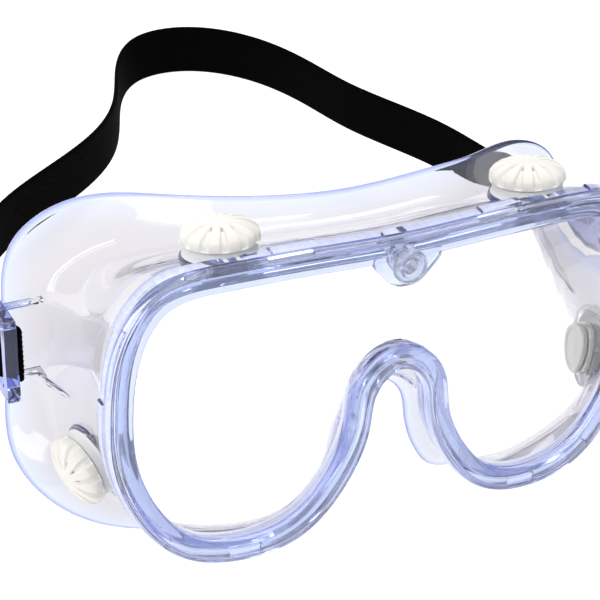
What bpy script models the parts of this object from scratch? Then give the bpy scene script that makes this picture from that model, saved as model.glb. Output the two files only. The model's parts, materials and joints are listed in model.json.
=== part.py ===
"""Chemical splash safety goggles with indirect vents and an elastic headband.

Metres, +Z up, the lens faces -Y, X is left to right.  Driving dimensions are in millimetres, in the
goggles' own upright frame (x = 0 the symmetry plane, y = 0 the front of the rim, z = 0 the middle of the
lens).  Every piece hangs from the empty rest_pose, which leans the goggles back as they stand on a table,
on their two cheek pads and the back of the headband.
"""
import math

import bmesh
import bpy
import numpy as np
from mathutils import Matrix, Vector

# ---- driving dimensions, millimetres unless a name says otherwise ----
REST_LEAN_DEG = 17.0       # lean back at rest
STATIONS = 84              # samples round the rim
LENS_BOW = 496.0           # radius of the lens bend
LENS_T = 2.0
GROOVE_FRONT, GROOVE_BACK, GROOVE_DEPTH = 2.0, 4.6, 2.3
LIP_WIDTH = 6.0            # front lip, measured in from the rim's outside
BEAD_DEPTH = 6.6           # front-to-back size of the rim bead
WALL_T = 1.8
EDGE_T = 1.3
FIT = 0.3                  # gap between neighbours
# half of the rim's outside, from top centre round to the nose arch (x, z)
RIM_HALF = [(0, 40), (22, 40.4), (46, 40), (64, 36), (72.5, 24), (76, 5), (75.3, -12), (69, -29),
            (58, -41), (43, -44.7), (27, -41), (14.5, -27.5), (8.6, -12), (6.2, -1.2), (0, 3.1)]
# the free edge of the face flange beside each rim point (x, y, z)
EDGE_HALF = [(0, 34, 38.5), (23, 37, 39.2), (46, 46, 40), (66, 58, 37), (80, 63, 27), (85.5, 61, 8),
             (87, 57, -12), (88, 47, -31), (74, 35, -45), (51, 29, -50.5), (30, 26, -50),
             (17.5, 21, -40), (11.5, 19, -25), (8, 18, -14), (0, 17.5, -9.5)]
# the soft flange sits pressed in at the wearer's left temple: shift of its edge there (x, y, z) and spread
TEMPLE_SHIFT, TEMPLE_AT, TEMPLE_SPREAD = (-3.5, -1.0, -6.5), (60, 54, 37), 32.0
# how far the flange root lies in from its edge: towards the middle, and forward
ROOT_IN = [5, 5.5, 8, 11, 11, 8.5, 9.5, 13, 12, 8, 6, 4.5, 3, 2.6, 2.5]
ROOT_FORE = [5, 6, 8, 9, 10, 9, 9, 8, 7, 6, 5, 4, 3.5, 3, 3]
# vents: rim parameter (0 top centre, 1 nose arch), distance back along the wall
VENT_TOP, VENT_SIDE = (-42.6, 15.6), (-23.0, 30.0)
BOSS_R, BOSS_UP, BOSS_IN, BORE_R = 9.1, 3.0, 2.6, 6.2
CAP_R, CAP_H, CAP_PETALS = 9.9, 5.4, 12
CAP_SKIRT, CAP_TUBE_R, CAP_TUBE_BORE = 1.1, 5.9, 5.0
TOP_VENT_TILT = 12.0       # degrees that the brow vents lean forward from the wall's normal
BASE_R, BASE_STEM_R, BASE_BORE, BAFFLE_R, DISC_T = 6.1, 4.7, 3.8, 5.6, 1.0
# lens stud
STUD_Z, STUD_R, STEM_R, STEM_END, TAB_R, TAB_FRONT, TAB_BACK = 33.0, 4.5, 2.2, 7.0, 9.0, 0.45, 1.95
TAB_DROP = 0.6             # the tab round the stud sits this much lower than the stud
WASHER_R, WASHER_T = 3.7, 1.3
# strap lugs: a flat loop parallel to the side wall, with a front bar, a slot and a rear bar
LUG_X = (86.6, 90.0)
LUG_BAR_FRONT, LUG_BAR_REAR, SLOT_H, LUG_ARM = (44.4, 47.6), (54.6, 57.8), 17.6, 3.2
LUG_Z = {"left": 1.0, "right": -5.0}   # the soft body lies a little skewed, its two lugs not level
WEB_T, WEB_Y = 1.6, (52.0, 56.6)       # the webs that carry a lug off the flange
FIN_Y, FIN_SINK = (36.5, 46.5), 0.9    # the fin that runs forward along the wall from a lug's foot
# blank recessed panel on the brow: x, y and floor height
PANEL_X, PANEL_Y, PANEL_Z = 18.0, (9.5, 21.5), 38.9
# headband
BAND_W, BAND_T = 16.0, 1.4
BAND_RISE = 0.1            # climb of the band per mm of its run to the back
BAND_LEVEL_Y = 115.0       # from here back the band's height no longer follows the left lug
BAND_PATH = [(91.0, 59), (89.6, 70), (85.5, 84), (80.5, 99), (75.5, 116), (67, 134), (58.5, 151),
             (51.5, 172), (43, 189), (33.5, 199), (20, 205), (6, 203), (-4.5, 192), (-12, 175),
             (-18.5, 161), (-29, 148), (-42, 137.5), (-55, 128.5), (-69, 117), (-81, 100), (-88.5, 80),
             (-91.0, 59)]
TAIL, HEM, HEM_T = 4.2, 4.2, 2.9   # the end inside the lug and its folded, sewn hem
STITCH_T, STITCH_W = 0.6, 1.0


for old in list(bpy.data.objects):
    bpy.data.objects.remove(old, do_unlink=True)
PARTS = bpy.data.collections.new("safety_goggles")
CUTTERS = bpy.data.collections.new("cutters")
for coll in (PARTS, CUTTERS):
    bpy.context.scene.collection.children.link(coll)
REST_POSE = bpy.data.objects.new("rest_pose", None)
PARTS.objects.link(REST_POSE)
MM = 0.001
UPRIGHT = Matrix.Identity(4)


def material(name, colour, rough, transmission=0.0, ior=1.5):
    mat = bpy.data.materials.new(name)
    mat.use_nodes = True
    p = mat.node_tree.nodes["Principled BSDF"]
    p.inputs["Base Color"].default_value = (*colour, 1)
    p.inputs["Roughness"].default_value = rough
    p.inputs["Transmission Weight"].default_value = transmission
    p.inputs["IOR"].default_value = ior
    return mat


SOFT_PVC = material("soft_clear_pvc", (0.86, 0.88, 0.97), 0.08, 0.9, 1.52)
LENS_PC = material("clear_polycarbonate", (0.97, 0.98, 1.0), 0.02, 0.95, 1.58)
STUD_PC = material("clear_stud_plastic", (0.8, 0.85, 0.97), 0.1, 0.8, 1.5)
VENT_PE = material("white_vent_plastic", (0.9, 0.89, 0.86), 0.45)
DISC_PE = material("grey_disc_plastic", (0.7, 0.69, 0.67), 0.6)
ELASTIC = material("black_elastic", (0.012, 0.012, 0.014), 0.85)
THREAD = material("black_thread", (0.03, 0.03, 0.032), 0.7)


def in_metres(place):
    """A placement drawn in millimetres, with its shift in metres."""
    out = place.copy()
    out.translation = place.translation * MM
    return out


def hang(name, mesh, place, mat, coll):
    """Makes the object, with its own origin at place, and hangs it from the rest pose."""
    ob = bpy.data.objects.new(name, mesh)
    if mat is not None:
        mesh.materials.append(mat)
    coll.objects.link(ob)
    ob.parent = REST_POSE
    ob.matrix_local = in_metres(place)
    return ob


def add(name, bm, mat, coll=PARTS, place=UPRIGHT):
    """A closed bmesh, in millimetres about place, becomes a named object in metres."""
    bmesh.ops.recalc_face_normals(bm, faces=bm.faces)
    if bm.calc_volume(signed=True) < 0:
        bmesh.ops.reverse_faces(bm, faces=bm.faces)
    bmesh.ops.scale(bm, verts=bm.verts, vec=(MM, MM, MM))
    mesh = bpy.data.meshes.new(name)
    bm.to_mesh(mesh)
    bm.free()
    return hang(name, mesh, place, mat, coll)


def closed_spline(values, samples, knots):
    """A periodic cubic through the rows of values at the given knots, the last knot closing the loop."""
    n = len(values)
    h = np.diff(knots)
    a = np.zeros((n, n))
    r = np.zeros((n, values.shape[1]))
    for i in range(n):
        p, q = (i - 1) % n, (i + 1) % n
        a[i, p] += h[p]
        a[i, i] += 2 * (h[p] + h[i])
        a[i, q] += h[i]
        r[i] = 6 * ((values[q] - values[i]) / h[i] - (values[i] - values[p]) / h[p])
    m = np.linalg.solve(a, r)
    out = []
    for t in samples:
        i = min(int(np.searchsorted(knots, t, side="right")) - 1, n - 1)
        j = (i + 1) % n
        u, v = t - knots[i], knots[i + 1] - t
        out.append(m[i] * v ** 3 / (6 * h[i]) + m[j] * u ** 3 / (6 * h[i])
                   + (values[i] / h[i] - m[i] * h[i] / 6) * v + (values[j] / h[i] - m[j] * h[i] / 6) * u)
    return np.array(out)


def mirrored(half, flip):
    """A half list from centre to centre, made into the whole loop."""
    half = np.array(half, float)
    back = half[-2:0:-1] * np.array(flip)
    return np.vstack([half, back])


RIM = mirrored(RIM_HALF, (-1, 1))
EDGE = mirrored(EDGE_HALF, (-1, 1, 1))
ROOT = mirrored(np.c_[ROOT_IN, ROOT_FORE], (1, 1))
KNOTS = np.r_[0, np.cumsum(np.linalg.norm(np.diff(np.vstack([RIM, RIM[:1]]), axis=0), axis=1))]


def loops(n):
    """The rim outline, its inward normal, the flange edge and the flange root at n stations."""
    t = np.linspace(0, KNOTS[-1], n, endpoint=False)
    rim = closed_spline(RIM, t, KNOTS)
    d = closed_spline(RIM, (t + 0.05) % KNOTS[-1], KNOTS) - closed_spline(RIM, (t - 0.05) % KNOTS[-1], KNOTS)
    d /= np.linalg.norm(d, axis=1)[:, None]
    inward = np.c_[d[:, 1], -d[:, 0]]
    edge = closed_spline(EDGE, t, KNOTS)
    near = np.exp(-((edge - np.array(TEMPLE_AT)) ** 2).sum(1) / TEMPLE_SPREAD ** 2)
    edge = edge + near[:, None] * np.array(TEMPLE_SHIFT)
    root = closed_spline(ROOT, t, KNOTS)
    e2 = np.roll(edge[:, [0, 2]], -1, 0) - np.roll(edge[:, [0, 2]], 1, 0)
    e2 /= np.linalg.norm(e2, axis=1)[:, None]
    e_in = np.c_[e2[:, 1], -e2[:, 0]]
    foot = edge - np.c_[-e_in[:, 0] * root[:, 0], root[:, 1], -e_in[:, 1] * root[:, 0]]
    return rim, inward, edge, foot


def at_depth(rim, inward, offset, y):
    """A ring of the rim: the outline moved in by offset, y behind the bowed front."""
    p = rim + inward * offset
    return np.c_[p[:, 0], y + p[:, 0] ** 2 / (2 * LENS_BOW), p[:, 1]]


def bezier(a, b, c, d, u):
    v = 1 - u
    return a * v ** 3 + 3 * b * v * v * u + 3 * c * v * u * u + d * u ** 3


def wall_rings(n, wall_steps, flare_steps):
    """Outer skin from behind the rim bead to the free edge of the flange."""
    rim, inward, edge, foot = loops(n)
    start = at_depth(rim, inward, 1.5, BEAD_DEPTH + 0.7)
    reach = np.linalg.norm(foot - start, axis=1)[:, None]
    flare = edge - foot
    flare /= np.linalg.norm(flare, axis=1)[:, None]
    back = np.array([[0.0, 1.0, 0.0]])
    turn = back * 0.75 + flare * 0.5
    rings = [bezier(start, start + back * reach * 0.35, foot - turn * reach * 0.3, foot, u)
             for u in np.linspace(0, 1, wall_steps + 1)]
    width = np.linalg.norm(edge - foot, axis=1)[:, None]
    rings += [bezier(foot, foot + turn * width * 0.3, edge - flare * width * 0.35, edge, u)
              for u in np.linspace(0, 1, flare_steps + 1)[1:]]
    return rings


def skin_normals(rings):
    grid = np.array(rings)
    du = np.roll(grid, -1, 1) - np.roll(grid, 1, 1)
    dv = np.gradient(grid, axis=0)
    n = np.cross(du, dv)
    n /= np.linalg.norm(n, axis=2)[:, :, None]
    middle = grid.mean(axis=(0, 1))
    if ((grid - middle) * n).sum() < 0:
        n = -n
    return n


def loft_mesh(rings):
    """A ring of rings, closed both ways."""
    bm = bmesh.new()
    rows = [[bm.verts.new(p) for p in ring] for ring in rings]
    for r in range(len(rows)):
        a, b = rows[r], rows[(r + 1) % len(rows)]
        for i in range(len(a)):
            j = (i + 1) % len(a)
            bm.faces.new((a[i], a[j], b[j], b[i]))
    return bm


def body_rings(n):
    rim, inward, _, _ = loops(n)
    front = [(6.0, 0.7), (5.3, 0.05), (1.1, -0.2), (0.15, 0.25), (0.0, 1.2), (-0.7, 1.9), (-0.7, 5.4),
             (0.1, BEAD_DEPTH - 0.3)]
    rings = [at_depth(rim, inward, o, y) for o, y in front]
    outer = wall_rings(n, 5, 3)
    normals = skin_normals(outer)
    rings += outer
    thick = [WALL_T] * (len(outer) - 1) + [EDGE_T]
    inner = [o - m * t for o, m, t in zip(outer, normals, thick)]
    rings += inner[:1:-1]
    back = [(5.2, 7.7), (LIP_WIDTH, 7.1), (LIP_WIDTH, GROOVE_BACK), (GROOVE_DEPTH, GROOVE_BACK),
            (GROOVE_DEPTH, GROOVE_FRONT), (LIP_WIDTH, GROOVE_FRONT)]
    rings += [at_depth(rim, inward, o, y) for o, y in back]
    return rings


def cylinder(name, r, z0, z1, place, sides=28):
    """A tool: a solid cylinder along the local z of place."""
    bm = bmesh.new()
    bmesh.ops.create_cone(bm, cap_ends=True, segments=sides, radius1=r, radius2=r, depth=z1 - z0)
    bmesh.ops.translate(bm, verts=bm.verts, vec=(0, 0, (z0 + z1) / 2))
    return add(name, bm, None, CUTTERS, place)


def boxy(name, lo, hi, coll=CUTTERS, place=UPRIGHT, round_by=0.0, mat=None):
    """A box from corner lo to corner hi, with its edges rounded."""
    bm = bmesh.new()
    bmesh.ops.create_cube(bm, size=1.0)
    bmesh.ops.scale(bm, verts=bm.verts, vec=[b - a for a, b in zip(lo, hi)])
    bmesh.ops.translate(bm, verts=bm.verts, vec=[(a + b) / 2 for a, b in zip(lo, hi)])
    if round_by:
        bmesh.ops.bevel(bm, geom=list(bm.edges), offset=round_by, segments=2, profile=0.5, affect="EDGES")
    return add(name, bm, mat, coll, place)


def slab(name, outline, z0, z1):
    """A tool: a flat outline in x, y carried from z0 to z1."""
    bm = bmesh.new()
    face = bm.faces.new([bm.verts.new((x, y, z0)) for x, y in outline])
    swept = bmesh.ops.extrude_face_region(bm, geom=[face])
    moved = [v for v in swept["geom"] if isinstance(v, bmesh.types.BMVert)]
    bmesh.ops.translate(bm, verts=moved, vec=(0, 0, z1 - z0))
    return add(name, bm, None, CUTTERS)


def combine(target, tool, how):
    mod = target.modifiers.new(how.lower(), "BOOLEAN")
    mod.operation, mod.solver, mod.object = how, "EXACT", tool
    tool.hide_render = True
    tool.display_type = "WIRE"


def axis_frame(origin, out, up=Vector((0, 0, 1))):
    """A frame at origin whose local z points along out."""
    z = Vector(out).normalized()
    x = up.cross(z)
    if x.length < 0.2:
        x = Vector((1, 0, 0))
    x = (x - z * x.dot(z)).normalized()
    y = z.cross(x)
    m = Matrix((x, y, z)).transposed().to_4x4()
    m.translation = Vector(origin)
    return m


FINE_WALL = np.array(wall_rings(208, 30, 3)[:31])
FINE_NORMALS = skin_normals(FINE_WALL)


def wall_point(keep, **fixed):
    """The outer skin's point and normal nearest to the fixed coordinates, among the points keep allows."""
    miss = sum((FINE_WALL[:, :, "xyz".index(axis)] - value) ** 2 for axis, value in fixed.items())
    k = np.unravel_index(np.where(keep(FINE_WALL), miss, np.inf).argmin(), miss.shape)
    return FINE_WALL[k], FINE_NORMALS[k]


def on_brow(grid):
    return grid[:, :, 2] > 20


def on_left_wall(grid):
    return grid[:, :, 0] < -50


def vent_frames():
    """Name and frame of each vent: two on the brow wall, two low on the side walls."""
    top, top_out = wall_point(on_brow, x=VENT_TOP[0], y=VENT_TOP[1])
    side, side_out = wall_point(on_left_wall, z=VENT_SIDE[0], y=VENT_SIDE[1])
    top_out = Matrix.Rotation(math.radians(TOP_VENT_TILT), 3, "X") @ Vector(top_out)
    return {f"{tag}_{hand}": axis_frame((s * p[0], p[1], p[2]), (s * n[0], n[1], n[2]))
            for tag, p, n in (("top", top, top_out), ("side", side, side_out))
            for hand, s in (("left", 1), ("right", -1))}


VENTS = vent_frames()
STUD_FRAME = Matrix.Translation((0, 0, STUD_Z)) @ Matrix.Rotation(math.pi / 2, 4, "X")


def wall_x(y, z):
    """How far out the side wall stands at depth y and height z."""
    return -wall_point(on_left_wall, y=y, z=z)[0][0]


def lug_pieces(hand):
    """One moulded strap lug: the flat loop, two webs that carry it off the flange and the fin at its foot."""
    s = 1 if hand == "right" else -1
    z0, z1 = LUG_Z[hand] - SLOT_H / 2, LUG_Z[hand] + SLOT_H / 2
    y0, y1 = LUG_BAR_FRONT[0], LUG_BAR_REAR[1]
    outer = sorted(s * x for x in LUG_X)
    solids = [boxy(f"lug_plate_{hand}", (outer[0], y0, z0 - LUG_ARM), (outer[1], y1, z1 + LUG_ARM),
                   round_by=0.6)]
    reach = LUG_X[0] + 1.2
    for tag, low in (("top", z1 + 0.9), ("bottom", z0 - 0.9 - WEB_T)):
        web = [(wall_x(WEB_Y[0], low) - FIN_SINK, WEB_Y[0]), (reach, WEB_Y[0]), (reach, WEB_Y[1]),
               (wall_x(WEB_Y[1], low) - FIN_SINK, WEB_Y[1])]
        solids.append(slab(f"lug_web_{tag}_{hand}", [(s * x, y) for x, y in web], low, low + WEB_T))
    low = z0 - 0.9 - WEB_T
    run = np.linspace(FIN_Y[0], WEB_Y[0] + 0.4, 5)
    fin = [(wall_x(y, low) - FIN_SINK, y) for y in run] + [(reach, run[-1]), (reach, FIN_Y[1])]
    solids.append(slab(f"lug_fin_{hand}", [(s * x, y) for x, y in fin], low, low + WEB_T))
    wide = sorted(s * x for x in (LUG_X[0] - 2, LUG_X[1] + 3))
    slot = boxy(f"lug_slot_{hand}", (wide[0], LUG_BAR_FRONT[1], z0), (wide[1], LUG_BAR_REAR[0], z1))
    return solids, slot


def goggle_body():
    body = add("goggle_body", loft_mesh(body_rings(STATIONS)), SOFT_PVC)
    for spot, place in VENTS.items():
        combine(body, cylinder(f"boss_{spot}", BOSS_R, -BOSS_IN, BOSS_UP, place), "UNION")
    slots = []
    for hand in ("left", "right"):
        solids, slot = lug_pieces(hand)
        for solid in solids:
            combine(body, solid, "UNION")
        slots.append(slot)
    tab_place = STUD_FRAME @ Matrix.Translation((0, -TAB_DROP, 0))
    combine(body, cylinder("stud_tab", TAB_R, -TAB_BACK, TAB_FRONT, tab_place), "UNION")
    for spot, place in VENTS.items():
        combine(body, cylinder(f"vent_bore_{spot}", BORE_R, -8, 8, place), "DIFFERENCE")
    for slot in slots:
        combine(body, slot, "DIFFERENCE")
    combine(body, cylinder("stud_hole", STEM_R + FIT, -3, 3, STUD_FRAME, sides=20), "DIFFERENCE")
    pocket = cylinder("washer_pocket", WASHER_R + FIT, -10, -GROOVE_BACK + 0.2, STUD_FRAME)
    combine(body, pocket, "DIFFERENCE")
    panel = boxy("brow_panel", (-PANEL_X, PANEL_Y[0], PANEL_Z), (PANEL_X, PANEL_Y[1], PANEL_Z + 5))
    combine(body, panel, "DIFFERENCE")
    return body


def lens():
    """The bowed lens: its outline sits in the rim's groove, and a stem hole takes the stud."""
    rim, inward, _, _ = loops(STATIONS)
    out = rim + inward * (GROOVE_DEPTH + FIT)
    y0 = (GROOVE_FRONT + GROOVE_BACK - LENS_T) / 2
    bm = bmesh.new()
    verts = [bm.verts.new((p[0], 0, p[1])) for p in out]
    bm.faces.new(verts)
    for x in range(-72, 73, 18):
        geom = bm.verts[:] + bm.edges[:] + bm.faces[:]
        bmesh.ops.bisect_plane(bm, geom=geom, plane_co=(x, 0, 0), plane_no=(1, 0, 0))
    bmesh.ops.triangulate(bm, faces=bm.faces)
    ret = bmesh.ops.extrude_face_region(bm, geom=bm.faces[:])
    moved = [v for v in ret["geom"] if isinstance(v, bmesh.types.BMVert)]
    for v in moved:
        v.co.y += LENS_T
    for v in bm.verts:
        v.co.y += y0 + v.co.x ** 2 / (2 * LENS_BOW)
    ob = add("lens", bm, LENS_PC)
    combine(ob, cylinder("lens_stud_hole", STEM_R + FIT, -8, 3, STUD_FRAME, sides=24), "DIFFERENCE")
    return ob


def turned(name, profile, place, mat, sides=24):
    """A turned piece: the profile of (radius, height) points, down its outer side, screwed round local z."""
    mesh = bpy.data.meshes.new(name)
    closed = profile[0][0] > 0
    count = len(profile)
    edges = [(k, (k + 1) % count) for k in range(count if closed else count - 1)]
    mesh.from_pydata([(r * MM, 0, z * MM) for r, z in profile], edges, [])
    ob = hang(name, mesh, place, mat, PARTS)
    screw = ob.modifiers.new("turn", "SCREW")
    screw.axis = "Z"
    screw.steps = screw.render_steps = sides
    screw.use_merge_vertices = True
    screw.merge_threshold = 0.00001
    return ob


def petals(r, z, a):
    """Domed petals round the cap's rim, with a dip between each two."""
    if z < BOSS_UP + 0.9 or r < 3.5:
        return r, z
    dip = max(0.0, math.cos(CAP_PETALS * a)) ** 4 * min(1.0, (r - 3.5) / 4.0)
    return r - 0.55 * dip, z - 0.75 * dip


def vent_cap(name, place, sides=36):
    """The white snap-in cap: a fluted dome over the boss with a slotted tube down its bore."""
    top, tube_end = BOSS_UP + FIT, FIT - BOSS_IN
    profile = [(0, top + CAP_H), (2.6, top + CAP_H - 0.25), (5.4, top + CAP_H - 1.0), (8.1, top + 2.3),
               (CAP_R, top + CAP_SKIRT), (CAP_R, top), (CAP_TUBE_R, top), (CAP_TUBE_R, tube_end),
               (CAP_TUBE_BORE, tube_end), (CAP_TUBE_BORE, top + 0.9), (4.4, top + 1.7), (0, top + 2.0)]
    bm = bmesh.new()
    rows = []
    for r, z in profile:
        angles = [2 * math.pi * i / sides for i in range(sides if r else 1)]
        spots = [petals(r, z, a) for a in angles]
        rows.append([bm.verts.new((q * math.cos(a), q * math.sin(a), h)) for a, (q, h) in zip(angles, spots)])
    for a, b in zip(rows, rows[1:]):
        for i in range(sides):
            corners = [a[i % len(a)], a[(i + 1) % len(a)], b[(i + 1) % len(b)], b[i % len(b)]]
            bm.faces.new(list(dict.fromkeys(corners)))
    bmesh.ops.triangulate(bm, faces=bm.faces)
    cap = add(name, bm, VENT_PE, place=place)
    for k in range(4):
        turn = place @ Matrix.Rotation(math.radians(42 + 90 * k), 4, "Z")
        slot = boxy(f"{name}_air_slot_{k + 1}", (3.2, -1.2, tube_end - 1.3), (7, 1.2, top - 1.4), place=turn)
        combine(cap, slot, "DIFFERENCE")


def vent_base(name, place):
    """The inner half of the vent: a flanged cup pushed up inside the cap's tube."""
    z, top = -BOSS_IN - FIT, 0.6
    turned(name, [(BASE_R, z), (BASE_R, z - DISC_T), (2.6, z - DISC_T), (2.6, z), (BASE_BORE, z),
                  (BASE_BORE, top), (BASE_STEM_R, top), (BASE_STEM_R, z)], place, VENT_PE)


def vent_baffle(name, place):
    """The splash disc that closes the straight way through the vent."""
    z = -BOSS_IN - FIT - DISC_T - FIT
    turned(name, [(0, z), (BAFFLE_R - 0.3, z), (BAFFLE_R, z - 0.25), (BAFFLE_R, z - DISC_T + 0.25),
                  (BAFFLE_R - 0.3, z - DISC_T), (0, z - DISC_T)], place, DISC_PE)


def lens_stud():
    """The round stud that locks the lens to the brow tab, with a raised ring on its face."""
    face = TAB_FRONT + FIT
    turned("lens_stud", [(0, face + 1.9), (2.5, face + 1.9), (2.9, face + 1.5), (3.4, face + 1.5),
                         (3.9, face + 2.1), (STUD_R, face + 1.4), (STUD_R, face), (STEM_R, face),
                         (STEM_R, -STEM_END), (0, -STEM_END)], STUD_FRAME, STUD_PC, sides=28)


def stud_washer():
    """The washer that the stud's stem passes behind the lens."""
    front = -(GROOVE_FRONT + GROOVE_BACK + LENS_T) / 2 - FIT
    hole = STEM_R + FIT
    turned("stud_washer", [(hole, front), (WASHER_R, front), (WASHER_R, front - WASHER_T),
                           (hole, front - WASHER_T)], STUD_FRAME, STUD_PC)


def open_spline(points, step):
    """A smooth line through points, sampled about every step."""
    p = np.array(points, float)
    k = np.r_[0, np.cumsum(np.linalg.norm(np.diff(p, axis=0), axis=1))]
    n = len(p)
    h = np.diff(k)
    a = np.eye(n)
    r = np.zeros_like(p)
    for i in range(1, n - 1):
        a[i, i - 1:i + 2] = h[i - 1], 2 * (h[i - 1] + h[i]), h[i]
        r[i] = 6 * ((p[i + 1] - p[i]) / h[i] - (p[i] - p[i - 1]) / h[i - 1])
    m = np.linalg.solve(a, r)
    out = []
    for t in np.linspace(0, k[-1], max(2, int(k[-1] / step)) + 1):
        i = min(int(np.searchsorted(k, t, side="right")) - 1, n - 2)
        u, v = t - k[i], k[i + 1] - t
        out.append(m[i] * v ** 3 / (6 * h[i]) + m[i + 1] * u ** 3 / (6 * h[i])
                   + (p[i] / h[i] - m[i] * h[i] / 6) * v + (p[i + 1] / h[i] - m[i + 1] * h[i] / 6) * u)
    return np.array(out)


def hook_round(hand):
    """The band's way into the lug: the hemmed end inside the slot, then out round the rear bar."""
    s = 1 if hand == "right" else -1
    (x0, x1), y1 = LUG_X, LUG_BAR_REAR[0]
    g = FIT + BAND_T / 2
    inside = x0 - FIT - HEM_T / 2
    cross = y1 - g
    way = [(inside, cross - 1.2 - TAIL * k) for k in (1, 0.75, 0.5, 0.25, 0)]
    way += [(inside + 0.35, cross - 0.35), (inside + 1.2, cross), (x0 + 1.2, cross), (x1 - 0.4, cross)]
    turn = [math.radians(k) for k in (-70, -50, -30, -10)]
    way += [(x1 + g * math.cos(a), y1 + g * math.sin(a)) for a in turn]
    return [(s * x, y) for x, y in way]


def band_line():
    """The centre line of the whole headband in plan, tail to tail."""
    right, left = hook_round("right"), hook_round("left")
    run = open_spline(BAND_PATH, 6.0)
    return np.vstack([right, run, left[::-1]])


def band_height(x, y):
    """Height of the band's middle: it climbs to the back, and its left run comes off the higher lug."""
    climb = max(0.0, y - LUG_BAR_REAR[0]) * BAND_RISE
    if x > 0:
        return LUG_Z["right"] + climb
    share = min(1.0, max(0.0, (BAND_LEVEL_Y - y) / (BAND_LEVEL_Y - LUG_BAR_REAR[0])))
    return LUG_Z["right"] + climb + (LUG_Z["left"] - LUG_Z["right"]) * share * share * (3 - 2 * share)


def band_thickness(line):
    """The band's thickness along its line: thicker over the folded hem at each end."""
    along = np.r_[0, np.cumsum(np.linalg.norm(np.diff(line, axis=0), axis=1))]
    end = np.minimum(along, along[-1] - along)
    return np.where(end < HEM, HEM_T, BAND_T)


def headband():
    """The elastic band: one flat strip on edge, hem to hem."""
    line = band_line()
    thick = band_thickness(line)
    d = np.gradient(line, axis=0)
    d /= np.linalg.norm(d, axis=1)[:, None]
    bm = bmesh.new()
    rows = []
    for p, q, t in zip(line, np.c_[-d[:, 1], d[:, 0]], thick):
        z = band_height(*p)
        row = []
        for sx, sz in ((-0.5, -0.5), (0.5, -0.5), (0.5, 0.5), (-0.5, 0.5)):
            row.append(bm.verts.new((p[0] + q[0] * t * sx, p[1] + q[1] * t * sx, z + BAND_W * sz)))
        rows.append(row)
    for a, b in zip(rows, rows[1:]):
        for i in range(4):
            j = (i + 1) % 4
            bm.faces.new((a[i], a[j], b[j], b[i]))
    bm.faces.new(rows[0])
    bm.faces.new(rows[-1])
    return add("headband", bm, ELASTIC)


def hem_stitching(hand):
    """The row of thread that holds one folded hem: a thin raised bar up the hem's inner face."""
    s = 1 if hand == "right" else -1
    x = LUG_X[0] - FIT - HEM_T - 0.05
    end = hook_round("right")[0][1]
    xs = sorted((s * (x - STITCH_T), s * x))
    y = end + HEM / 2
    half = BAND_W / 2 - 1.5
    boxy(f"hem_stitch_{hand}", (xs[0], y - STITCH_W / 2, LUG_Z[hand] - half),
         (xs[1], y + STITCH_W / 2, LUG_Z[hand] + half), coll=PARTS, round_by=0.2, mat=THREAD)


def lean_back():
    """Leans the goggles back to rest, with their lowest point on z = 0 and their depth about y = 0."""
    lean = Matrix.Rotation(-math.radians(REST_LEAN_DEG), 4, "X")
    lowest = (bpy.data.objects[name].data for name in ("goggle_body", "headband"))
    spots = [lean @ v.co for mesh in lowest for v in mesh.vertices]
    depths = [p.y for p in spots]
    REST_POSE.matrix_world = Matrix.Translation(
        (0, -(min(depths) + max(depths)) / 2, -min(p.z for p in spots))) @ lean


goggle_body()
lens()
lens_stud()
stud_washer()
for spot, place in VENTS.items():
    vent_cap(f"vent_cap_{spot}", place)
    vent_base(f"vent_base_{spot}", place)
    vent_baffle(f"vent_baffle_{spot}", place)
headband()
for hand in ("left", "right"):
    hem_stitching(hand)
lean_back()
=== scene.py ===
"""The looks of the splash goggles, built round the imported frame.

Shapes are drawn in the goggles' own upright frame in millimetres (x = 0 the symmetry plane, y = 0 the
front of the rim, z = 0 the middle of the lens) and are then carried to their place by HOME, the lean and
shift that the record's strap lug gives.
"""

import json
import math

import bmesh
import bpy
import numpy as np
from mathutils import Matrix, Vector, kdtree


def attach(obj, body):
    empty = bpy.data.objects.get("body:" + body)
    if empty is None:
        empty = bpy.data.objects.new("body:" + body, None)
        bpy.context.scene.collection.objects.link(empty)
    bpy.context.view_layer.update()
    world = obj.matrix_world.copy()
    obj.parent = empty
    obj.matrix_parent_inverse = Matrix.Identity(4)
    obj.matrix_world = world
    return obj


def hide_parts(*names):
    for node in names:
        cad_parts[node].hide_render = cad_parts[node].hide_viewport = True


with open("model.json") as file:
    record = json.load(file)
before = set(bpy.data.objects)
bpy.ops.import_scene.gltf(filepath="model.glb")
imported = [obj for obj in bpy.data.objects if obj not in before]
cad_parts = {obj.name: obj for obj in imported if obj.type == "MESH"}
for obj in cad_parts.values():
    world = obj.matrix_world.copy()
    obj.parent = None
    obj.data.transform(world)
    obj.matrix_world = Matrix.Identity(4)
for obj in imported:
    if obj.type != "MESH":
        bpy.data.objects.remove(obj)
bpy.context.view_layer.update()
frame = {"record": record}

# ---- the goggles' own frame ----
LEAN_DEG = 17.0
LUG_SPOT = Vector((-90.0, 46.0, 1.0))      # where the record puts the mount strap_lug_left
lug_at = next(m["pos_m"] for m in frame["record"]["mounts"] if m["name"] == "strap_lug_left")
LEAN = Matrix.Rotation(-math.radians(LEAN_DEG), 4, "X")
HOME = Matrix.Translation(Vector(lug_at) - LEAN @ LUG_SPOT * 0.001) @ LEAN @ Matrix.Scale(0.001, 4)

# ---- camera, in the goggles' own frame ----
CAM_SPOT = Vector((-203.886, -370.267, 257.767))
CAM_YAW, CAM_PITCH, CAM_ROLL = 25.295, 29.159, 0.962
CAM_LENS = 117.23


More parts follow.
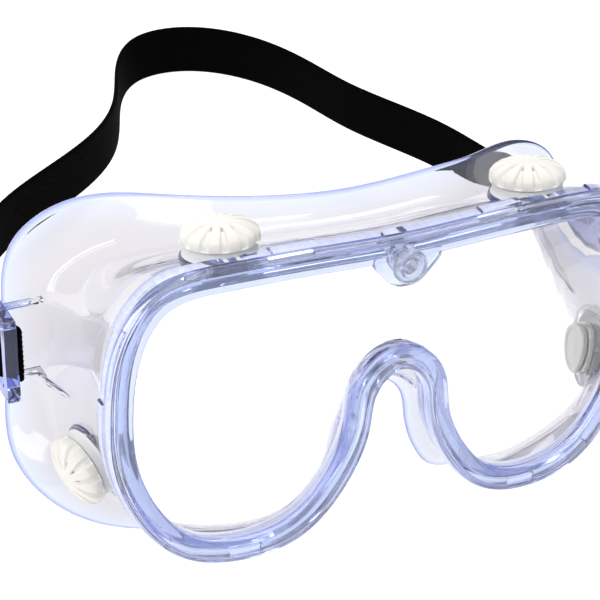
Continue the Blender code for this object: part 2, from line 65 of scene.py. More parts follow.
def camera():
    """The viewing angle: from the left of the front, looking down on the brow."""
    yaw, pitch, roll = (math.radians(a) for a in (CAM_YAW, CAM_PITCH, CAM_ROLL))
    ahead = Vector((math.sin(yaw) * math.cos(pitch), math.cos(yaw) * math.cos(pitch), -math.sin(pitch)))
    level = Vector((math.cos(yaw), -math.sin(yaw), 0))
    over = level.cross(ahead)
    right = level * math.cos(roll) + over * math.sin(roll)
    up = over * math.cos(roll) - level * math.sin(roll)
    turn = Matrix((right, up, -ahead)).transposed()
    cam = bpy.data.objects.new("camera", bpy.data.cameras.new("camera"))
    bpy.context.scene.collection.objects.link(cam)
    cam.data.lens = CAM_LENS
    cam.data.clip_start = 0.01
    cam.matrix_world = Matrix.Translation(HOME @ CAM_SPOT) @ (LEAN.to_3x3() @ turn).to_4x4()
    bpy.context.scene.camera = cam


camera()

# ---- the shape's driving dimensions, millimetres: the CAD's, but for finer webs, fin, tab and hem ----
LENS_BOW, LENS_T = 496.0, 2.0
GROOVE_FRONT, GROOVE_BACK, GROOVE_DEPTH = 2.0, 4.6, 2.3
LIP_WIDTH, BEAD_DEPTH = 6.0, 6.6
WALL_T, FIT = 1.8, 0.3
RIM_HALF = [(0, 40), (22, 40.4), (46, 40), (64, 36), (72.5, 24), (76, 5), (75.3, -12), (69, -29),
            (58, -41), (43, -44.7), (27, -41), (14.5, -27.5), (8.6, -12), (6.2, -1.2), (0, 3.1)]
EDGE_HALF = [(0, 34, 38.5), (23, 37, 39.2), (46, 46, 40), (66, 58, 37), (80, 63, 27), (85.5, 61, 8),
             (87, 57, -12), (88, 47, -31), (74, 35, -45), (51, 29, -50.5), (30, 26, -50),
             (17.5, 21, -40), (11.5, 19, -25), (8, 18, -14), (0, 17.5, -9.5)]
TEMPLE_SHIFT, TEMPLE_AT, TEMPLE_SPREAD = (-3.5, -1.0, -6.5), (60, 54, 37), 32.0
ROOT_IN = [5, 5.5, 8, 11, 11, 8.5, 9.5, 13, 12, 8, 6, 4.5, 3, 2.6, 2.5]
ROOT_FORE = [5, 6, 8, 9, 10, 9, 9, 8, 7, 6, 5, 4, 3.5, 3, 3]
VENT_TOP, VENT_SIDE = (-42.6, 15.6), (-23.0, 30.0)
TOP_VENT_TILT = 12.0           # degrees that the brow vents lean forward from the wall's normal
BOSS_R, BOSS_UP, BOSS_IN, BORE_R = 9.1, 3.0, 2.6, 6.2
CAP_R, CAP_H, CAP_PETALS = 9.9, 5.4, 12
GRIPS = 8                      # notches round the cup that fastens a cap
STUD_Z, STUD_R, STEM_R, STEM_END = 33.0, 4.5, 2.2, 7.0
TAB_FRONT, TAB_BACK = 0.45, 1.95
# outline of the tab round the stud, about the stud's axis (x, up)
TAB = [(-9.6, 3.5), (-9.2, 0.4), (-3.3, -6.0), (3.3, -6.0), (9.2, 0.4), (9.6, 3.5)]
WASHER_R, WASHER_T = 3.7, 1.3
LUG_X = (86.6, 90.0)
LUG_BAR_FRONT, LUG_BAR_REAR, SLOT_H, LUG_ARM = (44.4, 47.6), (54.6, 57.8), 17.6, 3.2
LUG_Z = {"left": 1.0, "right": -5.0}
WEB_T, WEB_Y = 1.2, (54.6, 57.0)
FIN_START, FIN_SINK, FIN_W, FIN_GROWS = 39.0, 0.9, 1.0, 5.0
PANEL_X, PANEL_Y, PANEL_Z = 18.0, (9.5, 21.5), 38.9
# the headband; HOOK is its way from the hem inside a lug out through the slot (x, y)
BAND_W, BAND_T, BAND_RISE, BAND_LEVEL_Y = 16.0, 1.4, 0.1, 115.0
HEM, HEM_T = 2.6, 2.0
HOOK = [(85.3, 47.9), (85.3, 49.3), (86.3, 50.4), (88.2, 51.8), (89.9, 53.0), (91.0, 54.5), (91.0, 56.5)]
BAND_PATH = [(91.0, 59), (89.6, 70), (85.5, 84), (80.5, 99), (75.5, 116), (67, 134), (58.5, 151),
             (51.5, 172), (43, 189), (33.5, 199), (20, 205), (6, 203), (-4.5, 192), (-12, 175),
             (-18.5, 161), (-29, 148), (-42, 137.5), (-55, 128.5), (-69, 117), (-81, 100), (-88.5, 80),
             (-91.0, 59)]

# ---- finer than the CAD ----
STATIONS = 460                 # samples round the rim
WALL_STEPS, FLARE_STEPS = 18, 9
FLANGE_T, EDGE_BEAD = 1.3, 0.75    # flange thickness, radius of the bead on its free edge
CORNER_R = 0.45                # moulded radius on the rim's corners
BLOCK_UP = 0.7                 # how far the clamping blocks stand off the rim's rear band
# the clamping blocks round one half of the rim, each from one point of the outline to another (x, z)
BLOCKS_HALF = [((22.6, 40.4), (34.3, 40.4)), ((55.5, 39.2), (72.1, 25.1)), ((75.9, 6.2), (61.5, -38.5)),
               ((44.8, -44.6), (36.5, -44.2))]
STEP = 0.15                    # half the width of a block's end face


# ---- node materials ----
class Nodes:
    """Short hand for a material's node tree."""

    def __init__(self, name):
        self.mat = bpy.data.materials.new(name)
        self.mat.use_nodes = True
        self.tree = self.mat.node_tree
        self.shader = self.tree.nodes["Principled BSDF"]
        self.out = self.tree.nodes["Material Output"]

    def new(self, kind, **settings):
        node = self.tree.nodes.new(kind)
        for key, value in settings.items():
            if key in node.inputs:
                node.inputs[key].default_value = value
            else:
                setattr(node, key, value)
        return node

    def join(self, source, target):
        self.tree.links.new(source, target)

    def set(self, **values):
        for key, value in values.items():
            self.shader.inputs[key.replace("_", " ")].default_value = value

    def place(self):
        return self.new("ShaderNodeTexCoord").outputs["Object"]

    def noise(self, scale, detail=3.0, rough=0.5, at=None):
        node = self.new("ShaderNodeTexNoise", Scale=scale, Detail=detail, Roughness=rough)
        self.join(at if at is not None else self.place(), node.inputs["Vector"])
        return node.outputs["Fac"]

    def ramp(self, value, low, high, start=0.0, end=1.0):
        node = self.new("ShaderNodeMapRange")
        node.inputs["From Min"].default_value = start
        node.inputs["From Max"].default_value = end
        node.inputs["To Min"].default_value = low
        node.inputs["To Max"].default_value = high
        self.join(value, node.inputs["Value"])
        return node.outputs["Result"]

    def blend(self, value, first, second):
        node = self.new("ShaderNodeMix", data_type="RGBA")
        node.inputs["A"].default_value = (*first, 1)
        node.inputs["B"].default_value = (*second, 1)
        self.join(value, node.inputs["Factor"])
        return node.outputs["Result"]

    def bump(self, height, strength, distance, before=None):
        node = self.new("ShaderNodeBump", Strength=strength, Distance=distance)
        self.join(height, node.inputs["Height"])
        if before is not None:
            self.join(before, node.inputs["Normal"])
        return node.outputs["Normal"]

    def absorb(self, colour, density):
        node = self.new("ShaderNodeVolumeAbsorption", Density=density)
        node.inputs["Color"].default_value = (*colour, 1)
        self.join(node.outputs["Volume"], self.out.inputs["Volume"])


# PALE_SHADE_BLUE and EDGE_SHADE_VIOLET are painted shade: the pale and deep blue that long light paths
# through the thick rim, flange edge and lugs give; GREY is the colour away from the edges
GREY, PALE_SHADE_BLUE, EDGE_SHADE_VIOLET = (0.72, 0.7, 0.71), (0.8, 0.87, 1.0), (0.05, 0.08, 0.62)
PALE_SHADE_AT = 0.15                 # where on the painted edge shade's scale the colour is pale blue


def soft_pvc():
    """Clear plasticised PVC with a faint milkiness and a slightly rippled skin.  Its colour is painted shade:
    it turns blue-violet where the moulding ends in a corner or an edge, after a vertex attribute, for the
    deep blue of long light paths."""
    m = Nodes("soft_clear_pvc")
    m.set(Transmission_Weight=0.95, IOR=1.42)
    # painted edge shade: the base colour runs from grey through pale blue to violet as the vertex attribute
    # rises towards the edges
    edge_shade = m.new("ShaderNodeAttribute", attribute_name="painted_edge_shade").outputs["Fac"]
    colours = m.new("ShaderNodeValToRGB")
    m.join(edge_shade, colours.inputs["Fac"])
    stops = colours.color_ramp.elements
    stops[0].color, stops[1].color = (*GREY, 1), (*EDGE_SHADE_VIOLET, 1)
    stops.new(PALE_SHADE_AT).color = (*PALE_SHADE_BLUE, 1)
    m.join(colours.outputs["Color"], m.shader.inputs["Base Color"])
    m.join(m.ramp(m.noise(90, 4), 0.0, 0.09, 0.45, 0.8), m.shader.inputs["Roughness"])
    ripple = m.bump(m.noise(38, 2), 0.12, 0.0006)
    m.join(m.bump(m.noise(900, 2), 0.04, 0.00008, ripple), m.shader.inputs["Normal"])
    m.absorb((0.12, 0.15, 0.93), 20.0)
    return m.mat


def lens_plastic():
    """Optical polycarbonate with a few fine wipe marks."""
    m = Nodes("clear_polycarbonate")
    m.set(Base_Color=(1, 1, 1, 1), Transmission_Weight=1.0, IOR=1.45)
    m.join(m.ramp(m.noise(55, 5, 0.6), 0.0, 0.05, 0.5, 0.8), m.shader.inputs["Roughness"])
    m.absorb((0.55, 0.62, 0.85), 6.0)
    return m.mat


def stud_plastic():
    """The stud: clear but moulded with a fine matt, so that it looks milky blue."""
    m = Nodes("clear_stud_plastic")
    m.set(Base_Color=(0.93, 0.96, 1.0, 1), Transmission_Weight=0.9, IOR=1.46)
    m.join(m.ramp(m.noise(260, 3), 0.16, 0.34), m.shader.inputs["Roughness"])
    m.join(m.bump(m.noise(1400, 2), 0.12, 0.0001), m.shader.inputs["Normal"])
    m.absorb((0.3, 0.4, 0.85), 40.0)
    return m.mat


def vent_plastic():
    """White polyethylene, a little creamy, with a satin skin and faint sink marks."""
    m = Nodes("white_vent_plastic")
    m.set(IOR=1.5, Subsurface_Weight=0.15, Subsurface_Scale=0.002)
    m.join(m.blend(m.ramp(m.noise(70, 4), 0, 1, 0.35, 0.7), (0.80, 0.785, 0.74), (0.75, 0.73, 0.675)),
           m.shader.inputs["Base Color"])
    m.join(m.ramp(m.noise(300, 3), 0.32, 0.5), m.shader.inputs["Roughness"])
    m.join(m.bump(m.noise(1500, 3), 0.1, 0.0001, m.bump(m.noise(160, 2), 0.1, 0.0004)),
           m.shader.inputs["Normal"])
    return m.mat


def disc_plastic():
    """The baffles' greyer, matt plastic."""
    m = Nodes("grey_disc_plastic")
    m.join(m.blend(m.noise(120, 4), (0.66, 0.64, 0.62), (0.72, 0.7, 0.67)), m.shader.inputs["Base Color"])
    m.join(m.ramp(m.noise(400, 3), 0.5, 0.7), m.shader.inputs["Roughness"])
    m.join(m.bump(m.noise(1800, 2), 0.15, 0.0001), m.shader.inputs["Normal"])
    return m.mat


def elastic():
    """Black woven elastic: cross ribs over covered rubber, with fine lengthwise yarns."""
    m = Nodes("black_elastic")
    m.set(Specular_IOR_Level=0.03)
    across = m.new("ShaderNodeAttribute", attribute_name="across_mm").outputs["Fac"]
    along = m.new("ShaderNodeAttribute", attribute_name="along_mm").outputs["Fac"]

    def wave(value, period, shift=0.0):
        node = m.new("ShaderNodeMath", operation="MULTIPLY_ADD")
        m.join(value, node.inputs[0])
        node.inputs[1].default_value = 2 * math.pi / period
        node.inputs[2].default_value = shift
        sine = m.new("ShaderNodeMath", operation="SINE")
        m.join(node.outputs[0], sine.inputs[0])
        return sine.outputs[0]

    weave = m.new("ShaderNodeMath", operation="MULTIPLY")
    m.join(wave(across, 0.8), weave.inputs[0])
    m.join(wave(along, 0.9), weave.inputs[1])
    fuzz = m.noise(2500, 4, 0.6)
    m.join(m.blend(m.ramp(weave.outputs[0], 0, 1, -1, 1), (0.0004, 0.0004, 0.0005), (0.0015, 0.0015, 0.0018)),
           m.shader.inputs["Base Color"])
    m.join(m.ramp(fuzz, 0.72, 0.95), m.shader.inputs["Roughness"])
    m.join(m.bump(fuzz, 0.35, 0.00012, m.bump(weave.outputs[0], 0.6, 0.00012)), m.shader.inputs["Normal"])
    return m.mat


def thread():
    m = Nodes("black_thread")
    m.join(m.blend(m.noise(1500, 3), (0.012, 0.012, 0.013), (0.035, 0.035, 0.038)),
           m.shader.inputs["Base Color"])
    m.set(Roughness=0.7)
    m.join(m.bump(m.noise(4000, 2), 0.4, 0.0001), m.shader.inputs["Normal"])
    return m.mat


def milky_pvc():
    """The same PVC where it is thick and cloudy, round the vents."""
    m = Nodes("soft_clear_pvc_cloudy")
    m.set(Transmission_Weight=0.55, IOR=1.46)
    m.join(m.blend(m.noise(120, 3), (0.80, 0.84, 0.94), (0.86, 0.88, 0.95)), m.shader.inputs["Base Color"])
    m.join(m.ramp(m.noise(200, 3), 0.3, 0.45), m.shader.inputs["Roughness"])
    m.join(m.bump(m.noise(900, 2), 0.05, 0.0001), m.shader.inputs["Normal"])
    m.absorb((0.12, 0.15, 0.93), 20.0)
    return m.mat


MILKY = milky_pvc()
PVC, LENS_PC, STUD_PC, VENT_PE, DISC_PE, ELASTIC, THREAD = (
    soft_pvc(), lens_plastic(), stud_plastic(), vent_plastic(), disc_plastic(), elastic(), thread())


# ---- mesh helpers ----
def finish_mesh(name, bm, mat, sharp=40.0):
    """A bmesh in the goggles' own frame becomes a piece in its place."""
    bmesh.ops.recalc_face_normals(bm, faces=bm.faces)
    if bm.calc_volume(signed=True) < 0:
        bmesh.ops.reverse_faces(bm, faces=bm.faces)
    mesh = bpy.data.meshes.new(name)
    bm.to_mesh(mesh)
    bm.free()
    if mat is not None:
        mesh.materials.append(mat)
        smooth(mesh, sharp)
    ob = bpy.data.objects.new(name, mesh)
    bpy.context.scene.collection.objects.link(ob)
    return ob


def smooth(mesh, sharp):
    mesh.shade_smooth()
    mesh.set_sharp_from_angle(angle=math.radians(sharp))


def store(ob, name, values):
    """Keeps one number for each vertex, for the material to read."""
    ob.data.attributes.new(name, "FLOAT", "POINT").data.foreach_set("value", np.array(values, np.float32))


def enter(ob, body, node):
    """Carries a finished piece to its place on the table and enters it for its body and node."""
    ob.data.transform(HOME)
    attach(ob, body)
    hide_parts(node)


def combine(target, tools, how):
    """Joins closed solids to target, or cuts them from it, and applies the result."""
    for tool in tools:
        mod = target.modifiers.new(how, "BOOLEAN")
        mod.operation, mod.solver, mod.object = how, "MANIFOLD", tool
    graph = bpy.context.evaluated_depsgraph_get()
    mesh = bpy.data.meshes.new_from_object(target.evaluated_get(graph), depsgraph=graph)
    target.modifiers.clear()
    old = target.data
    target.data = mesh
    bpy.data.meshes.remove(old)
    for tool in tools:
        bpy.data.objects.remove(tool, do_unlink=True)


def skin(rings, closed_loop=True):
    """Quads over rings of points: each ring closed, and the stack of rings closed or capped."""
    bm = bmesh.new()
    rows = [[bm.verts.new(p) for p in ring] for ring in rings]
    for r in range(len(rows) if closed_loop else len(rows) - 1):
        a, b = rows[r], rows[(r + 1) % len(rows)]
        for i in range(len(a)):
            j = (i + 1) % len(a)
            bm.faces.new((a[i], a[j], b[j], b[i]))
    if not closed_loop:
        bm.faces.new(rows[0])
        bm.faces.new(rows[-1])
    return bm


def turned(name, profile, place, mat, sides=72, hook=None, sharp=40.0):
    """A turned piece from (radius, height) points: its ends lie on the axis, or it closes as a tube."""
    bm = bmesh.new()
    solid = profile[0][0] == 0
    rows = []
    for r, z in profile:
        angles = [2 * math.pi * i / sides for i in range(sides if r else 1)]
        spots = [(hook(r, z, a) if hook and r else (r, z)) for a in angles]
        rows.append([bm.verts.new((q * math.cos(a), q * math.sin(a), h)) for a, (q, h) in zip(angles, spots)])
    for k in range(len(rows) - 1 if solid else len(rows)):
        a, b = rows[k], rows[(k + 1) % len(rows)]
        for i in range(sides):
            j = (i + 1) % sides
            quad = [a[i % len(a)], a[j % len(a)], b[j % len(b)], b[i % len(b)]]
            bm.faces.new([v for n, v in enumerate(quad) if v not in quad[:n]])
    bm.transform(place)
    return finish_mesh(name, bm, mat, sharp)


def rounded(points, radius, steps=3, closed=False):
    """A polyline with its corners turned into arcs.  Extra columns are carried along."""
    p = [np.array(q, float) for q in points]
    out = []
    for i, q in enumerate(p):
        if not closed and i in (0, len(p) - 1):
            out.append(q)
            continue
        a, b = p[i - 1], p[(i + 1) % len(p)]
        reach = min(radius, 0.45 * np.linalg.norm((a - q)[:2]), 0.45 * np.linalg.norm((b - q)[:2]))
        start = q + (a - q) * reach / max(np.linalg.norm((a - q)[:2]), 1e-9)
        end = q + (b - q) * reach / max(np.linalg.norm((b - q)[:2]), 1e-9)
        for u in np.linspace(0, 1, steps + 1):
            out.append(start * (1 - u) ** 2 + 2 * q * u * (1 - u) + end * u * u)
    return out


def prism(outline, low, high, place=None, bevel=0.0):
    """A flat outline in local x, y carried from low to high along z, its two rims rounded."""
    bm = bmesh.new()
    face = bm.faces.new([bm.verts.new((q[0], q[1], low)) for q in outline])
    swept = bmesh.ops.extrude_face_region(bm, geom=[face])
    for v in swept["geom"]:
        if isinstance(v, bmesh.types.BMVert):
            v.co.z = high
    if bevel:
        rims = [e for e in bm.edges if abs(e.verts[0].co.z - e.verts[1].co.z) < 1e-6]
        bmesh.ops.bevel(bm, geom=rims, offset=bevel, segments=3, profile=0.5, affect="EDGES")
    if place is not None:
        bm.transform(place)
    return finish_mesh("solid", bm, None)


def rectangle(x0, y0, x1, y1):
    return [(x0, y0), (x1, y0), (x1, y1), (x0, y1)]


def cylinder(r, z0, z1, place):
    """A cylinder along local z."""
    return turned("solid", [(0, z0), (r, z0), (r, z1), (0, z1)], place, None, sides=72)


# ---- the body's surface ----
def closed_spline(values, samples, knots):
    """A periodic cubic through the rows of values at the given knots, the last knot closing the loop."""
    n = len(values)
    h = np.diff(knots)
    a = np.zeros((n, n))
    r = np.zeros((n, values.shape[1]))
    for i in range(n):
        p, q = (i - 1) % n, (i + 1) % n
        a[i, p] += h[p]
        a[i, i] += 2 * (h[p] + h[i])
        a[i, q] += h[i]
        r[i] = 6 * ((values[q] - values[i]) / h[i] - (values[i] - values[p]) / h[p])
    m = np.linalg.solve(a, r)
    i = np.clip(np.searchsorted(knots, samples, side="right") - 1, 0, n - 1)
    j = (i + 1) % n
    u, v, w = (samples - knots[i])[:, None], (knots[i + 1] - samples)[:, None], h[i][:, None]
    return (m[i] * v ** 3 + m[j] * u ** 3) / (6 * w) + (values[i] / w - m[i] * w / 6) * v \
        + (values[j] / w - m[j] * w / 6) * u


def mirrored(half, flip):
    """A half list from centre to centre, made into the whole loop."""
    half = np.array(half, float)
    return np.vstack([half, half[-2:0:-1] * np.array(flip)])


RIM = mirrored(RIM_HALF, (-1, 1))
EDGE = mirrored(EDGE_HALF, (-1, 1, 1))
ROOT = mirrored(np.c_[ROOT_IN, ROOT_FORE], (1, 1))
KNOTS = np.r_[0, np.cumsum(np.linalg.norm(np.diff(np.vstack([RIM, RIM[:1]]), axis=0), axis=1))]
ROUND = KNOTS[-1]


def rim_place(x, z):
    """How far round the rim the outline passes nearest to (x, z)."""
    t = np.linspace(0, ROUND, 3000, endpoint=False)
    return t[((closed_spline(RIM, t, KNOTS) - (x, z)) ** 2).sum(1).argmin()]


def block_spans():
    """Start and end of every clamping block round the whole rim."""
    spans = []
    for a, b in BLOCKS_HALF:
        spans.append((rim_place(*a), rim_place(*b)))
        spans.append((rim_place(-b[0], b[1]), rim_place(-a[0], a[1])))
    return spans


SPANS = block_spans()


def stations(n):
    """Places round the rim, even but for extra ones at the blocks' end faces."""
    ends = np.array(SPANS).ravel()
    even = np.linspace(0, ROUND, n, endpoint=False)
    even = even[np.abs(even[:, None] - ends).min(1) > 3 * STEP]
    return np.sort(np.r_[even, ends - STEP, ends + STEP] % ROUND)


def block_height(t):
    """1 on a clamping block, 0 between blocks."""
    up = np.zeros(len(t))
    for a, b in SPANS:
        rise = np.clip((t - a) / (2 * STEP) + 0.5, 0, 1)
        fall = np.clip((b - t) / (2 * STEP) + 0.5, 0, 1)
        up = np.maximum(up, rise * fall)
    return up


def loops(t):
    """The rim outline, its inward normal, the flange edge and the flange root at places t."""
    rim = closed_spline(RIM, t, KNOTS)
    d = closed_spline(RIM, (t + 0.05) % ROUND, KNOTS) - closed_spline(RIM, (t - 0.05) % ROUND, KNOTS)
    d /= np.linalg.norm(d, axis=1)[:, None]
    inward = np.c_[d[:, 1], -d[:, 0]]

    def edge_at(s):
        e = closed_spline(EDGE, s % ROUND, KNOTS)
        near = np.exp(-((e - np.array(TEMPLE_AT)) ** 2).sum(1) / TEMPLE_SPREAD ** 2)
        return e + near[:, None] * np.array(TEMPLE_SHIFT)

    edge = edge_at(t)
    root = closed_spline(ROOT, t, KNOTS)
    e2 = (edge_at(t + 3) - edge_at(t - 3))[:, [0, 2]]
    e2 /= np.linalg.norm(e2, axis=1)[:, None]
    foot = edge - np.c_[-e2[:, 1] * root[:, 0], root[:, 1], e2[:, 0] * root[:, 0]]
    return rim, inward, edge, foot


def at_depth(rim, inward, offset, y):
    """A ring of the rim: the outline moved in by offset, y behind the bowed front."""
    p = rim + inward * (np.zeros(len(rim)) + offset)[:, None]
    return np.c_[p[:, 0], y + p[:, 0] ** 2 / (2 * LENS_BOW), p[:, 1]]


def bezier(a, b, c, d, u):
    v = 1 - u
    return a * v ** 3 + 3 * b * v * v * u + 3 * c * v * u * u + d * u ** 3


def wall_rings(t, wall_steps, flare_steps):
    """Outer skin from behind the rim bead to the free edge of the flange."""
    rim, inward, edge, foot = loops(t)
    start = at_depth(rim, inward, 1.5, BEAD_DEPTH + 0.7)
    reach = np.linalg.norm(foot - start, axis=1)[:, None]
    flare = edge - foot
    width = np.linalg.norm(flare, axis=1)[:, None]
    flare /= width
    back = np.array([[0.0, 1.0, 0.0]])
    turn = back * 0.75 + flare * 0.5
    rings = [bezier(start, start + back * reach * 0.35, foot - turn * reach * 0.3, foot, u)
             for u in np.linspace(0, 1, wall_steps + 1)]
    rings += [bezier(foot, foot + turn * width * 0.3, edge - flare * width * 0.35, edge, u)
              for u in np.linspace(0, 1, flare_steps + 1)[1:]]
    return rings


def skin_normals(rings):
    grid = np.array(rings)
    n = np.cross(np.roll(grid, -1, 1) - np.roll(grid, 1, 1), np.gradient(grid, axis=0))
    n /= np.linalg.norm(n, axis=2)[:, :, None]
    return n if ((grid - grid.mean(axis=(0, 1))) * n).sum() > 0 else -n


def body_rings(t):
    """The body's section, ring by ring: front lip, ridge, outer wall, flange edge, inner wall, groove."""
    rim, inward, _, _ = loops(t)
    up = block_height(t) * BLOCK_UP
    # offset in from the outline, depth, and how far a block lifts this corner
    front = [(LIP_WIDTH, GROOVE_FRONT, 0), (LIP_WIDTH, 0.35, 0), (5.1, -0.1, 0), (1.5, -0.2, 0),
             (1.2, 0.15, 0), (0.75, 0.15, 0), (0.4, -0.3, 0), (-0.1, -0.25, 0), (-0.7, 1.5, 0),
             (-0.7, 2.6, 0), (-0.25, 2.9, 0.3), (-0.25, 3.3, 1), (-0.35, 6.2, 1), (0.4, 7.0, 0.4),
             (1.35, 7.05, 0)]
    rings = [at_depth(rim, inward, o - up * k, y) for o, y, k in rounded(front, CORNER_R)]
    outer = wall_rings(t, WALL_STEPS, FLARE_STEPS)
    normals = skin_normals(outer)
    share = np.clip((np.arange(len(outer)) - WALL_STEPS) / FLARE_STEPS, 0, 1)
    thick = WALL_T + (FLANGE_T - WALL_T) * share
    inner = [o - m * k for o, m, k in zip(outer, normals, thick)]
    middle = outer[-1] - normals[-1] * FLANGE_T / 2
    ahead = outer[-1] - outer[-2]
    ahead /= np.linalg.norm(ahead, axis=1)[:, None]
    bead = [middle + (normals[-1] * math.cos(a) + ahead * (math.sin(a) - 0.5)) * EDGE_BEAD
            for a in (math.radians(k) for k in range(15, 166, 25))]
    rings += outer[1:-1] + bead + inner[-2:1:-1]
    back = [(5.4, 7.8, 0), (5.75, 7.4, 0), (LIP_WIDTH, 7.0, 0), (LIP_WIDTH, GROOVE_BACK, 0),
            (GROOVE_DEPTH, GROOVE_BACK, 0), (GROOVE_DEPTH, GROOVE_FRONT, 0)]
    rings += [at_depth(rim, inward, o, y) for o, y, _ in back]
    return rings


def axis_frame(origin, out, up=Vector((0, 0, 1))):
    """A frame at origin whose local z points along out."""
    z = Vector(out).normalized()
    x = up.cross(z)
    if x.length < 0.2:
        x = Vector((1, 0, 0))
    x = (x - z * x.dot(z)).normalized()
    m = Matrix((x, z.cross(x), z)).transposed().to_4x4()
    m.translation = Vector(origin)
    return m


FINE = np.array(wall_rings(np.linspace(0, ROUND, 208, endpoint=False), 30, 3)[:31])
FINE_N = skin_normals(FINE)


def wall_point(keep, **fixed):
    """The outer skin's point and normal nearest to the fixed coordinates, among the points keep allows."""
    miss = sum((FINE[:, :, "xyz".index(k)] - v) ** 2 for k, v in fixed.items())
    k = np.unravel_index(np.where(keep(FINE), miss, np.inf).argmin(), miss.shape)
    return FINE[k], FINE_N[k]


def on_left_wall(grid):
    return grid[:, :, 0] < -50


def vent_frames():
    """Name and frame of each vent: two on the brow wall, two low on the side walls."""
    top, top_out = wall_point(lambda g: g[:, :, 2] > 20, x=VENT_TOP[0], y=VENT_TOP[1])
    side, side_out = wall_point(on_left_wall, z=VENT_SIDE[0], y=VENT_SIDE[1])
    top_out = Matrix.Rotation(math.radians(TOP_VENT_TILT), 3, "X") @ Vector(top_out)
    return {f"{tag}_{hand}": axis_frame((s * p[0], p[1], p[2]), (s * n[0], n[1], n[2]))
            for tag, p, n in (("top", top, top_out), ("side", side, side_out))
            for hand, s in (("left", 1), ("right", -1))}


VENTS = vent_frames()
STUD_FRAME = Matrix.Translation((0, 0, STUD_Z)) @ Matrix.Rotation(math.pi / 2, 4, "X")


def wall_x(y, z):
    """How far out the side wall stands at depth y and height z."""
    return -wall_point(on_left_wall, y=y, z=z)[0][0]


def lug_solids(hand):
    """One strap lug: a waisted loop beside the wall, two webs off the flange and a low fin along its foot."""
    s = 1 if hand == "right" else -1
    z0, z1 = LUG_Z[hand] - SLOT_H / 2, LUG_Z[hand] + SLOT_H / 2
    y0, y1 = LUG_BAR_FRONT[0], LUG_BAR_REAR[1]
    # local x, y, z of the prisms are the goggles' y, z and x
    flat = Matrix(((0, 0, s, 0), (1, 0, 0, 0), (0, 1, 0, 0), (0, 0, 0, 1)))
    waist = [(y0 + 0.55 * math.sin(math.pi * u) ** 2, z1 + (z0 - z1) * u) for u in np.linspace(0, 1, 13)]
    loop = [(y0, z1 + LUG_ARM)] + waist + [(y0, z0 - LUG_ARM), (y1, z0 - LUG_ARM), (y1, z1 + LUG_ARM)]
    solids = [prism(rounded(loop, 1.2, 4, True), *LUG_X, flat, bevel=0.5)]
    reach = LUG_X[0] + 1.2
    foot = z0 - 0.9 - WEB_T
    for low in (z1 + 0.9, foot):
        rear = [(wall_x(y, low) - FIN_SINK, y) for y in np.linspace(*WEB_Y, 6)]
        web = [(reach, WEB_Y[0])] + rear + [(reach, WEB_Y[1])]
        solids.append(prism([(s * x, y) for x, y in web], low, low + WEB_T, bevel=0.35))
    run = np.linspace(FIN_START, WEB_Y[1], 14)
    fin = [(wall_x(y, foot) - FIN_SINK, y) for y in run]
    fin += [(wall_x(y, foot) + FIN_W * min(1.0, (y - FIN_START) / FIN_GROWS), y) for y in run[::-1]]
    solids.append(prism([(s * x, y) for x, y in fin], foot, foot + WEB_T, bevel=0.3))
    slot = prism(rounded(rectangle(LUG_BAR_FRONT[1], z0, LUG_BAR_REAR[0], z1), 1.0, 4, True),
                 LUG_X[0] - 2, LUG_X[1] + 3, flat)
    return solids, slot


def painted_edge_shade(ob):
    """Paints the deep blue shade that long light paths through thick plastic give: on the rim's ridge and
    lip, the flange's free edge and the strap lugs, and a line of shade round the brow panel.
    """
    t = np.linspace(0, ROUND, 1500, endpoint=False)
    rim, inward, edge, _ = loops(t)
    on_rim = kdtree.KDTree(len(t))
    on_edge = kdtree.KDTree(len(t))
    for i in range(len(t)):
        on_rim.insert((rim[i, 0], 0, rim[i, 1]), i)
        on_edge.insert(edge[i], i)
    on_rim.balance()
    on_edge.balance()

    def bell(value, middle, width):
        return math.exp(-((value - middle) / width) ** 2)

    edge_shade = []
    for v in ob.data.vertices:
        x, y, z = v.co
        _, i, _ = on_rim.find((x, 0, z))
        inset = (x - rim[i, 0]) * inward[i, 0] + (z - rim[i, 1]) * inward[i, 1]
        depth = y - x * x / (2 * LENS_BOW)
        here = 0.0
        if depth < BEAD_DEPTH + 1.2:
            patch = 0.75 + 0.25 * math.sin(0.11 * t[i] + 1.0) * math.sin(0.043 * t[i])
            ridge = bell(depth, 2.1, 0.9) * bell(inset, -0.6, 0.8) * patch
            band = 0.42 * bell(depth, 5.0, 2.0) * bell(inset, -0.4, 1.4)
            lip = 0.4 * bell(inset, LIP_WIDTH, 0.6)
            here = max(ridge, band, lip, PALE_SHADE_AT * min(1.0, (BEAD_DEPTH + 1.2 - depth) / 2.0))
        _, _, far = on_edge.find(v.co)
        here = max(here, 0.8 * bell(far, 0, 1.1), 0.1 * bell(far, 0, 6.0))
        level = LUG_Z["right" if x > 0 else "left"]
        at_lug = abs(z - level) < SLOT_H and LUG_BAR_FRONT[0] - 1 < y < LUG_BAR_REAR[1] + 1
        if at_lug and abs(x) > LUG_X[0] - 0.3:
            rims = min(abs(abs(x) - LUG_X[0]), abs(abs(x) - LUG_X[1]))
            here = max(here, 0.3 + 0.3 * bell(rims, 0, 0.5))
        # painted shade: a line round the recessed brow panel, so that its edge shows
        if z > PANEL_Z - 1:
            out_x = abs(x) - PANEL_X
            out_y = abs(y - sum(PANEL_Y) / 2) - (PANEL_Y[1] - PANEL_Y[0]) / 2
            here = max(here, 0.35 * bell(max(out_x, out_y), 0, 0.45))
        edge_shade.append(min(1.0, here))
    store(ob, "painted_edge_shade", edge_shade)


def on_boss(spot):
    """True on the outside of a vent boss and in its bore."""
    for place in VENTS.values():
        p = place.inverted() @ spot
        if math.hypot(p.x, p.y) < BOSS_R + 0.6 and 0.45 < p.z < BOSS_UP + 0.1:
            return True
    return False


